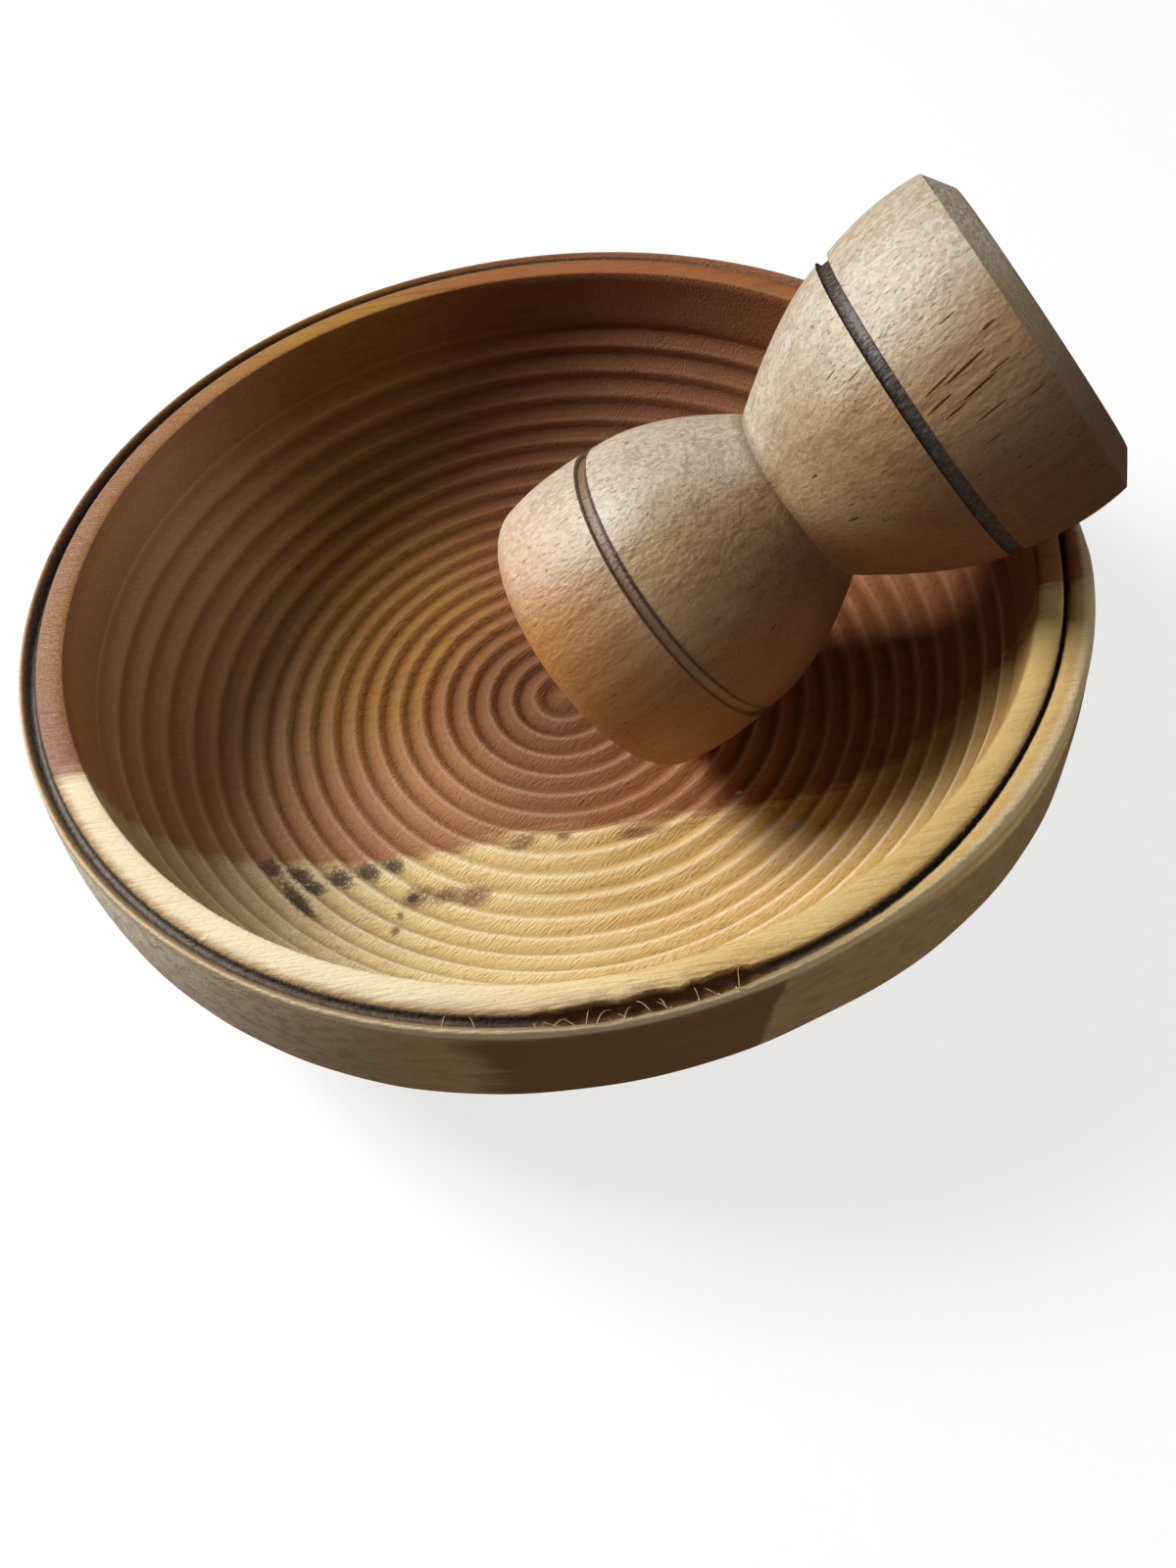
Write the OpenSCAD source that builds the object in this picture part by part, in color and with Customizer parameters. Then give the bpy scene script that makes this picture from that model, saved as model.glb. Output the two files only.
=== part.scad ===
// Ribbed grinding bowl with a double-ended pestle, both turned from wood.
// Millimetres, +Z up. The origin is the centre of the bowl's foot, on the surface it stands on.

/* [Bowl] */
// Outer diameter across the rim
bowl_d = 219; // [180:1:260]
// Height from the foot to the top of the outer bead
bowl_h = 56.5; // [54:0.5:64]
// Diameter of the flat foot
foot_d = 130; // [90:1:150]
// Height at which the upright outer wall turns under towards the foot
wall_foot_h = 35; // [28:0.5:42]
// Thickness of the wood under the floor's ribs
base_t = 10.4; // [9:0.1:13]
// Width of the rim from the inner lip to the outside
rim_w = 9.1; // [8:0.1:12]

/* [Ribs] */
// Spacing of the ribs on the floor and in the lower cove
rib_pitch = 5.4; // [4.5:0.1:6.5]
// Number of ribs at that spacing
rib_count = 16; // [12:1:17]
// Spacing of the ribs on the upper wall
wall_rib_pitch = 6.3; // [5:0.1:7]
// Number of ribs on the upper wall
wall_rib_count = 4; // [0:1:4]
// Height of a rib above the valleys beside it
rib_h = 1.2; // [0.4:0.1:1.6]
// Place of the valley between two crests, as a share of the way out; the far side is the steeper one
rib_valley = 0.62; // [0.5:0.01:0.7]

/* [Rim groove] */
// Width of the burnt groove near the outside of the rim
groove_w = 2.2; // [1.2:0.1:3]
// Depth of the groove
groove_depth = 1.4; // [0.6:0.1:2]
// Middle of the groove, measured in from the outside
groove_in = 2.4; // [2.2:0.1:3.5]
// Length of rim, in degrees, where the groove has torn out deeper
tear_deg = 24; // [5:1:60]
// Direction of the middle of that stretch, from +X
tear_at = 273; // [180:1:359]
// Depth of the torn stretch
tear_depth = 3.2; // [1.5:0.1:4]

/* [Pestle] */
// Length over both ends
pestle_l = 109.5; // [100:0.5:120]
// Diameter of the lower half at its widest
lower_d = 67.5; // [60:0.5:72]
// Diameter of the upper half at its widest
upper_d = 70.5; // [62:0.5:74]
// Diameter at the waist, where the two halves meet in a crease
waist_d = 38.5; // [30:0.5:44]
// Radius of the rounded edge of the lower end
lower_edge_r = 6; // [2:0.5:8]
// Width and depth of the chamfer round the upper end
chamfer_w = 6; // [2:0.5:8]
chamfer_h = 3.8; // [1:0.1:6]
// Width of the lower groove
lower_groove_w = 2.7; // [1:0.1:4]
// Width of the upper groove
upper_groove_w = 2.7; // [1:0.1:4]
// Depth of both grooves
pestle_groove_depth = 1; // [0.3:0.1:1.5]

/* [Resting place] */
// Lean of the pestle's axis away from upright
lean = 56.4; // [55:0.1:58]
// Direction in which it leans, from +X
lean_at = 4; // [0:1:8]
// Centre of the pestle's lower end face
lower_end = [7.6, -9.2, 35.8];

/* [Hidden] */
$fn = 144;

bowl_r = bowl_d / 2;
lip_r = bowl_r - rim_w;
lip_z = bowl_h - 0.5;
foot_r = foot_d / 2;
wall_r = bowl_r + 1.4;                 // the outer wall swells a little past the bead
corner_r = 5;                          // radius where the wall turns under
corner_turn = 35;                      // how far it turns there, before the curve to the foot
cove_r = lip_z - base_t;               // the inside turns up in a quarter circle
floor_r = lip_r - cove_r;              // and the floor inside it is flat
first_rib = 7.7;                       // radius of the first rib round the centre button
wall_ribs_from = first_rib + (rib_count - 1) * rib_pitch;
ribs_end = wall_ribs_from + wall_rib_count * wall_rib_pitch;
wall_end = floor_r + cove_r * PI / 2;  // length of the inner profile, centre to lip
rib_marks = [0, 0.1, 0.36, rib_valley, 0.74, 0.87]; // points on the profile of each rib
groove_r = bowl_r - groove_in;         // radius of the middle of the rim groove

waist_r = waist_d / 2;
waist_at = 0.506 * pestle_l;
lower_groove_at = 0.232 * pestle_l;
upper_groove_at = 0.767 * pestle_l;

// Points along an arc, about (x, y)
function arc(x, y, r, from, to, n) =
    [for (i = [0:n]) let (a = from + (to - from) * i / n) [x + r * cos(a), y + r * sin(a)]];

// Points along a curve that leaves a and reaches c, both heading for b
function curve(a, b, c, n) =
    [for (i = [0:n]) let (t = i / n) (1 - t) * (1 - t) * a + 2 * t * (1 - t) * b + t * t * c];

// The inside of the bowl, at a distance s along it from the centre: the flat floor, then the cove
function cove_angle(s) = s < floor_r ? 0 : (s - floor_r) / cove_r * 180 / PI;
function inside(s) =
    [min(s, floor_r) + cove_r * sin(cove_angle(s)), base_t + cove_r * (1 - cos(cove_angle(s)))];
function inward(s) = [-sin(cove_angle(s)), cos(cove_angle(s))];

// Which rib is at s, as a number that is whole on a crest
function rib_phase(s) =
    s < first_rib ? s / first_rib
    : s < wall_ribs_from ? 1 + (s - first_rib) / rib_pitch
    : rib_count + (s - wall_ribs_from) / wall_rib_pitch;
// A rib falls gently from its crest to the valley outside it, then rises steeply to the next crest
function fall(t, rounding) = (sqrt(t * t + rounding * rounding) - rounding)
    / (sqrt(1 + rounding * rounding) - rounding);
function rib_shape(p) = p < rib_valley ? fall(p / rib_valley, 0.12) : fall((1 - p) / (1 - rib_valley), 0.25);
function rib_depth(s) = s > ribs_end ? 0 : rib_h * rib_shape(rib_phase(s) - floor(rib_phase(s) + 0.0001));
function ribbed(s) = inside(s) - rib_depth(s) * inward(s);

// Places along the profile: the same marks inside each rib, then the plain band up to the lip
rib_places = concat(
    [for (m = rib_marks) first_rib * m],
    [for (i = [0:rib_count - 2], m = rib_marks) first_rib + rib_pitch * (i + m)],
    [for (i = [0:wall_rib_count - 1], m = rib_marks) wall_ribs_from + wall_rib_pitch * (i + m)],
    [for (i = [0:3]) ribs_end + (wall_end - ribs_end) * i / 4]
);

// The rim from outside to inside: rounded bead, the groove's two sides, a band that is slightly crowned
bead_r = groove_in - groove_w / 2;
rim_section = concat(
    arc(bowl_r - bead_r / 2, bowl_h - bead_r / 2, bead_r / 2, 0, 180, 6),
    [[groove_r + groove_w / 4, bowl_h - groove_depth - 0.3],
     [groove_r - groove_w / 4, bowl_h - groove_depth - 0.3]],
    curve([groove_r - groove_w / 2, bowl_h - 0.5],
          [(groove_r + lip_r) / 2, bowl_h + 0.3],
          [lip_r + 0.5, lip_z + 0.3], 5)
);

// The underside is a curve from the foot out to the corner, which it meets without a crease
corner_start = [wall_r - corner_r * (1 - cos(corner_turn)), wall_foot_h - corner_r * sin(corner_turn)];
under_curve =
    curve([foot_r + 1, 1.3],
          corner_start - 29 * [sin(corner_turn), cos(corner_turn)],
          corner_start, 10);

bowl_section = concat(
    [[0, 0], [foot_r - 1, 0], [foot_r, 1]],
    under_curve,
    arc(wall_r - corner_r, wall_foot_h, corner_r, -corner_turn + 9, 0, 3),
    curve([wall_r, wall_foot_h + 3],
          [wall_r + 0.2, bowl_h - 9],
          [bowl_r + 0.3, bowl_h - 2], 4),
    rim_section,
    [for (i = [len(rib_places) - 1:-1:0]) ribbed(rib_places[i])]
);

// The upper half is a curve out from the crease and a slightly swelling side, up to the chamfer
pestle_section = concat(
    [[0, 0], [lower_d / 2 - 1 - lower_edge_r, 0]],
    arc(lower_d / 2 - 0.8 - lower_edge_r, lower_edge_r, lower_edge_r, -75, 0, 5),
    curve([lower_d / 2 - 0.6, lower_edge_r + 1],
          [lower_d / 2 + 0.4, 0.13 * pestle_l],
          [lower_d / 2 - 0.8, lower_groove_at - lower_groove_w / 2], 4),
    groove_walls(lower_d / 2 - 1, lower_groove_at, lower_groove_w),
    curve([lower_d / 2 - 1.3, lower_groove_at + lower_groove_w / 2],
          [lower_d / 2 - 2, 0.36 * pestle_l],
          [waist_r, waist_at], 8),
    curve([waist_r + 0.3, waist_at + 0.4],
          [upper_d / 2 - 4.1, 0.66 * pestle_l],
          [upper_d / 2 - 2.1, upper_groove_at - upper_groove_w / 2], 8),
    groove_walls(upper_d / 2 - 1.8, upper_groove_at, upper_groove_w),
    curve([upper_d / 2 - 1.6, upper_groove_at + upper_groove_w / 2],
          [upper_d / 2 + 0.9, 0.88 * pestle_l],
          [upper_d / 2 - 0.9, pestle_l - chamfer_h], 6),
    [[upper_d / 2 - 0.9 - chamfer_w, pestle_l], [0, pestle_l]]
);
function groove_walls(r, at, w) =
    [[r - pestle_groove_depth, at - 0.35 * w], [r - pestle_groove_depth, at + 0.35 * w]];

// A stretch of the groove where the grain has torn out
module torn_stretch() {
    rotate([0, 0, tear_at - tear_deg / 2])
        rotate_extrude(angle = tear_deg)
            translate([groove_r - groove_w / 2 - 0.6, bowl_h - tear_depth])
                square([groove_w + 1, tear_depth + 1]);
}

module bowl() {
    color("burlywood")
        difference() {
            rotate_extrude() polygon(bowl_section);
            torn_stretch();
        }
}

module pestle() {
    color("tan")
        translate(lower_end)
            rotate([0, lean, lean_at])
                rotate_extrude() polygon(pestle_section);
}

bowl();
pestle();
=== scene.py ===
# %% [markdown]
# # A ribbed grinding bowl and its pestle
# The object is two pieces of turned wood: a wide, shallow bowl whose inside is cut into concentric
# ribs, and a loose, double-ended pestle that leans on the rim. The imported CAD model fixes their sizes
# and places. This script builds the same two shapes finely enough to be seen close up, gives them
# wood that varies the way a real block does, with some light and shade painted into its colour, and
# sets up a camera and soft light.

# %% Load the frame
import math
import random
import bpy
from mathutils import Euler, Matrix, Vector, noise


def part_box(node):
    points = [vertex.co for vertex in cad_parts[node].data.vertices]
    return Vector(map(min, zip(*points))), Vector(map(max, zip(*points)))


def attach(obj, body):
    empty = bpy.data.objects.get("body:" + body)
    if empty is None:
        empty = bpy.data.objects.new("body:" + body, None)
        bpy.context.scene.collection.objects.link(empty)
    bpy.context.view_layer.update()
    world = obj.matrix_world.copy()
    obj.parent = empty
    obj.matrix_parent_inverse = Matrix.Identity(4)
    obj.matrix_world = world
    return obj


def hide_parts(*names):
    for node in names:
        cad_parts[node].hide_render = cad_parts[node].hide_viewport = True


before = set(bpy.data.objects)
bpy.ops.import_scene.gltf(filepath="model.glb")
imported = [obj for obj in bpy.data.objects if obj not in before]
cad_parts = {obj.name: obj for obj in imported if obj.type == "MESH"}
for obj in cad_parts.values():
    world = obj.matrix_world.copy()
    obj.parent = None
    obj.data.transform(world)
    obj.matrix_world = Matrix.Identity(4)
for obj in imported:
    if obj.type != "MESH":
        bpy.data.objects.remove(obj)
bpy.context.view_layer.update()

# %% [markdown]
# ## Sizes
# Every length is worked out in millimetres, because a turner thinks in them, and becomes metres only
# when a point is placed. The bowl's radius and height come from its packed box. The other sizes
# repeat the CAD model's: where the flat floor ends, how far apart the ribs are, where the groove runs.

# %% The bowl's sizes
MM = 0.001
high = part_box("bowl")[1]
BOWL_H = high[2] / MM
WALL_R = high[0] / MM
WALL_PROUD = 1.4
RIM_W = 9.1
LIP_DROP = 0.5
BOWL_R = WALL_R - WALL_PROUD
LIP_R = BOWL_R - RIM_W
LIP_Z = BOWL_H - LIP_DROP
BAND_FROM = LIP_R + 0.5
RIM_DEPTH = 3.2
BASE_T = 10.4
COVE_R = LIP_Z - BASE_T
FLOOR_R = LIP_R - COVE_R
FOOT_R = 65.0
WALL_FOOT_H = 35.0
CORNER_R = 5.0
CORNER_TURN = 35.0
UNDER_REACH = 29
FIRST_RIB = 7.7
RIB_PITCH = 5.4
RIB_COUNT = 16
WALL_PITCH = 6.3
WALL_RIBS = 4
RIB_H = 1.2
RIB_VALLEY = 0.62
WALL_RIBS_FROM = FIRST_RIB + (RIB_COUNT - 1) * RIB_PITCH
RIBS_END = WALL_RIBS_FROM + WALL_RIBS * WALL_PITCH
WALL_END = FLOOR_R + COVE_R * math.pi / 2
GROOVE_FROM_EDGE = 2.4
GROOVE_R = BOWL_R - GROOVE_FROM_EDGE
GROOVE_W = 2.2
GROOVE_IN = GROOVE_R - GROOVE_W / 2
GROOVE_OUT = GROOVE_R + GROOVE_W / 2
print(f"bowl {2 * BOWL_R:.0f} mm across the rim, {BOWL_H:.1f} mm high, floor flat to {FLOOR_R:.1f} mm")

# %% The pestle's sizes and place
PESTLE_L = 109.5
LOWER_R = 33.75
UPPER_R = 35.25
WAIST_R = 19.25
WAIST_AT = 0.506 * PESTLE_L
LOWER_GROOVE = 0.232 * PESTLE_L
UPPER_GROOVE = 0.767 * PESTLE_L
CUT_W = 2.7
LEAN = math.radians(56.4)
LEAN_AT = math.radians(4)
LOWER_END = Vector((7.6, -9.2, 35.8)) * MM
PESTLE_PLACE = Matrix.Translation(LOWER_END) @ Euler((0, LEAN, LEAN_AT), "XYZ").to_matrix().to_4x4()
print("pestle leans", round(math.degrees(LEAN), 1), "degrees from upright")

# %% [markdown]
# ## Drawing an outline and turning it
# A lathe makes both pieces, so both are made here the same way: half of the section is drawn as a chain
# of points beside the axis, and spin sweeps it round. Modelling from a cylinder by hand would need a
# loop for each of the ribs, while an outline puts the points exactly where the curves are tight.
# The chain starts as a plane collapsed to one point, and each further point is an extrusion of the last.
# Spin runs in stretches, so that a part of the rim that needs fine detail can have closer steps.

# %% Arcs and curves for outlines
def arc(x, y, r, start, end, steps):
    """Points on an arc about (x, y), from start to end in degrees."""
    turns = [math.radians(start + (end - start) * i / steps) for i in range(steps + 1)]
    return [(x + r * math.cos(t), y + r * math.sin(t)) for t in turns]


def curve(a, b, c, steps):
    """Points on the curve that leaves a and reaches c, heading for b at both ends."""
    points = []
    for i in range(steps + 1):
        t = i / steps
        weights = ((1 - t) ** 2, 2 * t * (1 - t), t * t)
        points.append(tuple(sum(w * p for w, p in zip(weights, axis)) for axis in zip(a, b, c)))
    return points


def ramp(x, start, end):
    """Rises smoothly from 0 at start to 1 at end."""
    t = min(1.0, max(0.0, (x - start) / (end - start)))
    return t * t * (3 - 2 * t)


# %% Turning an outline on the lathe
def turn(name, outline, stretches):
    """Spins an outline of (radius, height) points in millimetres about Z, into one closed piece.
    Each stretch is (steps, degrees), and together they go all the way round."""
    bpy.ops.object.select_all(action="DESELECT")
    bpy.ops.mesh.primitive_plane_add(size=MM, location=(0, 0, 0))
    piece = bpy.context.object
    piece.name = name
    piece.data.name = name
    bpy.ops.object.mode_set(mode="EDIT")
    bpy.ops.mesh.select_mode(type="VERT")
    bpy.ops.mesh.merge(type="CENTER")
    here = outline[0]
    bpy.ops.transform.translate(value=(here[0] * MM, 0, here[1] * MM))
    for r, z in outline[1:]:
        step = ((r - here[0]) * MM, 0, (z - here[1]) * MM)
        bpy.ops.mesh.extrude_vertices_move(TRANSFORM_OT_translate={"value": step})
        here = (r, z)
    bpy.ops.mesh.select_all(action="SELECT")
    for steps, degrees in stretches:
        bpy.ops.mesh.spin(steps=steps, angle=math.radians(degrees), center=(0, 0, 0), axis=(0, 0, 1))
    bpy.ops.mesh.select_all(action="SELECT")
    bpy.ops.mesh.remove_doubles(threshold=0.02 * MM)
    bpy.ops.mesh.normals_make_consistent(inside=False)
    bpy.ops.object.mode_set(mode="OBJECT")
    bpy.ops.object.shade_smooth()
    print(name, "has", len(piece.data.polygons), "faces")
    return piece


# %% [markdown]
# ## The bowl's section
# The inside is a flat floor that turns up in a quarter circle to the lip, with the ribs laid on that
# path. Each rib falls gently outwards from its crest and then rises steeply to the next one, as a tool
# held at a slant leaves it. The rim has a slightly crowned band, a scorched groove and a narrow bead.
# The outer wall is almost upright, turns a soft corner, and curves under to a flat foot.

# %% The ribbed inside
def rib_number(s):
    """Which rib is at s, the distance along the inside from the centre; whole numbers are crests."""
    if s < FIRST_RIB:
        return s / FIRST_RIB
    if s < WALL_RIBS_FROM:
        return 1 + (s - FIRST_RIB) / RIB_PITCH
    return RIB_COUNT + (s - WALL_RIBS_FROM) / WALL_PITCH


def fall(t, rounding):
    """A slope from 0 to 1 that leaves 0 with a rounded shoulder."""
    return (math.hypot(t, rounding) - rounding) / (math.hypot(1, rounding) - rounding)


def rib_depth(s):
    """How far the surface lies below the crests at s."""
    if s > RIBS_END - 0.01:
        return 0.0
    p = (rib_number(s) + 0.0001) % 1.0
    if p < RIB_VALLEY:
        return RIB_H * fall(p / RIB_VALLEY, 0.12)
    return RIB_H * fall((1 - p) / (1 - RIB_VALLEY), 0.25)


def ribbed(s):
    """The inside of the bowl at s, as (radius, height)."""
    turn_up = max(0.0, s - FLOOR_R) / COVE_R
    reach = COVE_R + rib_depth(s)
    r = min(s, FLOOR_R) + reach * math.sin(turn_up)
    return (r, BASE_T + COVE_R - reach * math.cos(turn_up))


print(RIB_COUNT + WALL_RIBS, "ribs, the last one", round(RIBS_END, 1), "mm along the inside")

# %% The whole section
RIB_MARKS = [0, 0.07, 0.2, 0.42, 0.58, 0.66, 0.77, 0.89]
places = [FIRST_RIB * m for m in RIB_MARKS]
places += [FIRST_RIB + RIB_PITCH * (i + m) for i in range(RIB_COUNT - 1) for m in RIB_MARKS]
places += [WALL_RIBS_FROM + WALL_PITCH * (i + m) for i in range(WALL_RIBS) for m in RIB_MARKS]
places += [RIBS_END + (WALL_END - RIBS_END) * i / 6 for i in range(7)]

corner_cos = math.cos(math.radians(CORNER_TURN))
corner_sin = math.sin(math.radians(CORNER_TURN))
corner = (WALL_R - CORNER_R * (1 - corner_cos), WALL_FOOT_H - CORNER_R * corner_sin)
under = (corner[0] - UNDER_REACH * corner_sin, corner[1] - UNDER_REACH * corner_cos)
BEAD_R = (BOWL_R - GROOVE_OUT) / 2
bowl_outline = [(0, 0), (20, 0), (40, 0), (56, 0)] + arc(FOOT_R - 1, 1, 1, -90, -10, 2)
bowl_outline += curve((FOOT_R + 1, 1.3), under, corner, 16)
bowl_outline += arc(WALL_R - CORNER_R, WALL_FOOT_H, CORNER_R, -29, 0, 5)
bowl_outline += curve((WALL_R, WALL_FOOT_H + 2), (WALL_R + 0.2, BOWL_H - 9), (BOWL_R + 0.2, BOWL_H - 2), 8)
bowl_outline += arc(BOWL_R - BEAD_R, BOWL_H - BEAD_R, BEAD_R, 0, 165, 8)
bowl_outline += curve((GROOVE_OUT, BOWL_H - 0.5), (GROOVE_R, BOWL_H - 2.8), (GROOVE_IN, BOWL_H - 0.4), 10)
bowl_outline += curve((GROOVE_IN - 0.3, BOWL_H - 0.15), ((GROOVE_IN + LIP_R) / 2, BOWL_H + 0.25),
                      (BAND_FROM, LIP_Z + 0.3), 8)
bowl_outline += [ribbed(s) for s in reversed(places)]
print(len(bowl_outline), "points in the bowl's section")

# %% Turn the bowl
TEAR_FROM = 261.0
TEAR_TO = 288.0
TEAR_STEPS = 96
OTHER_STEPS = 300
bowl = turn("turned_bowl", bowl_outline, [(TEAR_STEPS, TEAR_TO - TEAR_FROM),
                                          (OTHER_STEPS, 360 - TEAR_TO + TEAR_FROM)])
bowl.data.transform(Matrix.Rotation(math.radians(TEAR_FROM), 4, "Z"))

# %% [markdown]
# ## What each point of the bowl is
# The colour has to know where the ribs' crests are, which surface is the inside, and at what radius a
# point was turned. All three are plain facts of the section, so they are stored on the mesh as
# attributes before anything is bent. That is simpler, and more exact, than working them out with nodes.

# %% Mark the inside and its ribs
def inside_place(r, z):
    """Distance along the inside from the centre, or None on the rim and the outside."""
    if r > LIP_R + 0.1:
        return None
    if r <= FLOOR_R:
        return r if z > BASE_T - 2 else None
    drop = BASE_T + COVE_R - z
    if math.hypot(r - FLOOR_R, drop) > COVE_R + 2:
        return None
    return FLOOR_R + COVE_R * math.atan2(r - FLOOR_R, drop)


crest_marks = []
inside_marks = []
ring_marks = []
for v in bowl.data.vertices:
    s = inside_place(math.hypot(v.co.x, v.co.y) / MM, v.co.z / MM)
    inside_marks.append(0.0 if s is None else 1.0)
    crest_marks.append(0.0 if s is None or s > RIBS_END else 1 - rib_depth(s) / RIB_H)
    ring_marks.append(math.hypot(v.co.x, v.co.y) / MM)
for name, marks in (("crest", crest_marks), ("inside", inside_marks), ("ring", ring_marks)):
    layer = bowl.data.attributes.new(name, "FLOAT", "POINT")
    layer.data.foreach_set("value", marks)
print(int(sum(inside_marks)), "of", len(inside_marks), "points are inside")

# %% [markdown]
# ## Wear and damage
# At the front of the rim the groove has torn: the grain lifted, the band's outer edge broke away and left
# a dark gap with a thin lip outside it. The bowl has also moved a little as it dried, flatter at the
# front and fuller at the right, and its ribs no longer share the rim's centre: on the floor they lie a
# little to the right and front of it. All of these are changes of shape, and a brush would leave them to
# chance, so the points are moved in code.

# %% Tear the groove and let the wall warp
WALL_BULGE = 1.3
WALL_FLAT = 1.2


def wave_noise(x, seed):
    """Smooth noise between about -1 and 1 along one direction."""
    return noise.noise(Vector((x, seed, 0.0))) * 1.6


def torn(r, z, az):
    """Where a point of the rim has gone in the torn stretch, as (radius, height)."""
    w = ramp(az, 262.5, 267) * ramp(-az, -286.5, -280)
    w *= 0.9 + 0.25 * wave_noise(az * 0.7, 3.1)
    edge = GROOVE_IN - w * (1.2 + 0.6 * wave_noise(az * 1.3, 8.4) + 0.3 * wave_noise(az * 5, 1.7))
    if z < BOWL_H - RIM_DEPTH or r < BAND_FROM:
        return (r, z)
    if r <= GROOVE_IN:
        return (BAND_FROM + (r - BAND_FROM) * (edge - BAND_FROM) / (GROOVE_IN - BAND_FROM), z)
    if r < GROOVE_OUT:
        t = (r - GROOVE_IN) / GROOVE_W
        floor_depth = 3.3 + 0.5 * wave_noise(az * 2.5, 5.5)
        depth = floor_depth * min(1.0, t / 0.15) * (1 - 0.8 * ramp(t, 0.75, 1.0))
        return (edge + t * (GROOVE_OUT + 0.25 * w - edge), z * (1 - w) + w * (BOWL_H - depth))
    fray = 0.35 + 0.3 * wave_noise(az * 4, 9.2)
    return (r + 0.25 * w * (BOWL_R - r) / (BOWL_R - GROOVE_OUT), z - w * fray)


def warped(r, z, az):
    """Where drying has moved a point of the rim or the outer wall, as a new radius."""
    bulge = ramp(az, 292, 322) * (1 - ramp(az, 346, 360))
    if z > BOWL_H - RIM_DEPTH and r > BAND_FROM:
        if r <= GROOVE_IN:
            return r - bulge * 0.8 * (r - BAND_FROM) / (GROOVE_IN - BAND_FROM)
        if r < GROOVE_OUT:
            return r - bulge * (0.8 + 0.8 * (r - GROOVE_IN) / GROOVE_W)
        return r + bulge * (-1.6 + 2.9 * (r - GROOVE_OUT) / (BOWL_R - GROOVE_OUT))
    if r < 80 or (r < LIP_R - 5 and z > 20):
        return r
    full = ramp(z, 4, 24)
    below_rim = full * (1 - ramp(z, BOWL_H - 10, BOWL_H - 3))
    flat = below_rim * ramp(az, 245, 272) * ramp(-az, -304, -288)
    ripple = below_rim * 0.12 * wave_noise(az * 0.12, 4.0)
    return r + full * WALL_BULGE * bulge - WALL_FLAT * flat + ripple


RIBS_OFF = Vector((0.8, -0.3, 0.0)) * MM
for v, inner in zip(bowl.data.vertices, inside_marks):
    r = math.hypot(v.co.x, v.co.y) / MM
    z = v.co.z / MM
    if inner:
        v.co += RIBS_OFF * ramp(-r, -FLOOR_R - 30, -FLOOR_R - 8)
    if inner or r < 60:
        continue
    az = math.degrees(math.atan2(v.co.y, v.co.x)) % 360
    if TEAR_FROM < az < TEAR_TO:
        r, z = torn(r, z, az)
    r = warped(r, z, az)
    turned = math.radians(az)
    v.co = Vector((r * math.cos(turned), r * math.sin(turned), z)) * MM
bowl.data.update()
print("rim torn from", TEAR_FROM, "to", TEAR_TO, "degrees")

# %% [markdown]
# ## Lifted fibres
# Fine curled fibres stand in the tear. Each is a short curve with a thin round section that tapers to
# its free end. Curves are right for them because their thickness is set by one number, and turning them
# to a mesh at the end gives closed tubes.

# %% Curl the fibres
STRAND_R = 0.12
STRAND_STEPS = 11
random.seed(11)
strands = bpy.data.curves.new("torn_fibres", "CURVE")
strands.dimensions = "3D"
strands.bevel_depth = STRAND_R * MM
strands.bevel_resolution = 1
strands.use_fill_caps = True
FIBRE_AT = [255.4, 258.6, 263.9, 265.0, 265.6, 267.4, 267.9, 268.8, 270.6, 271.0, 271.5, 273.6, 274.9,
            275.3, 277.8, 279.6, 281.2]
for az in FIBRE_AT:
    spline = strands.splines.new("POLY")
    spline.points.add(STRAND_STEPS)
    out = Vector((math.cos(math.radians(az)), math.sin(math.radians(az)), 0))
    along = Vector((-out.y, out.x, 0))
    size = random.uniform(0.7, 1.9)
    sweep = random.uniform(-2.6, 2.6)
    start = random.uniform(-80, -20)
    reach = random.uniform(120, 230)
    foot = out * (GROOVE_OUT + random.uniform(-0.5, 0.5)) + Vector((0, 0, BOWL_H - 1.3))
    for i, point in enumerate(spline.points):
        t = i / STRAND_STEPS
        bend = math.radians(start + reach * t)
        lift = Vector((0, 0, size * 0.62 * (math.sin(bend) - math.sin(math.radians(start)))))
        inward = out * size * (math.cos(bend) - math.cos(math.radians(start)))
        place = foot + lift + inward + along * sweep * t * t
        point.co = (*(place * MM), 1)
        point.radius = 1.0 - 0.75 * t
fibres = bpy.data.objects.new("torn_fibres", strands)
bpy.context.collection.objects.link(fibres)
bpy.ops.object.select_all(action="DESELECT")
fibres.select_set(True)
bpy.context.view_layer.objects.active = fibres
bpy.ops.object.convert(target="MESH")
fibres = bpy.context.object
bpy.ops.object.shade_smooth()
print(len(FIBRE_AT), "fibres,", len(fibres.data.polygons), "faces")

# %% [markdown]
# ## The pestle's section
# Each half is a rounded cup, and the cups meet at the waist in a crease. The lower end has a soft round
# edge from use, the upper one a crisp corner and a wide chamfer.

# %% Turn the pestle
def cut(r, at, w):
    """A flat-bottomed groove with crisp edges, at a height on the pestle's side."""
    return [(r, at - w / 2), (r - 0.8, at - 0.42 * w), (r - 1.0, at - 0.2 * w),
            (r - 1.0, at + 0.2 * w), (r - 0.8, at + 0.42 * w), (r, at + w / 2)]


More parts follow.
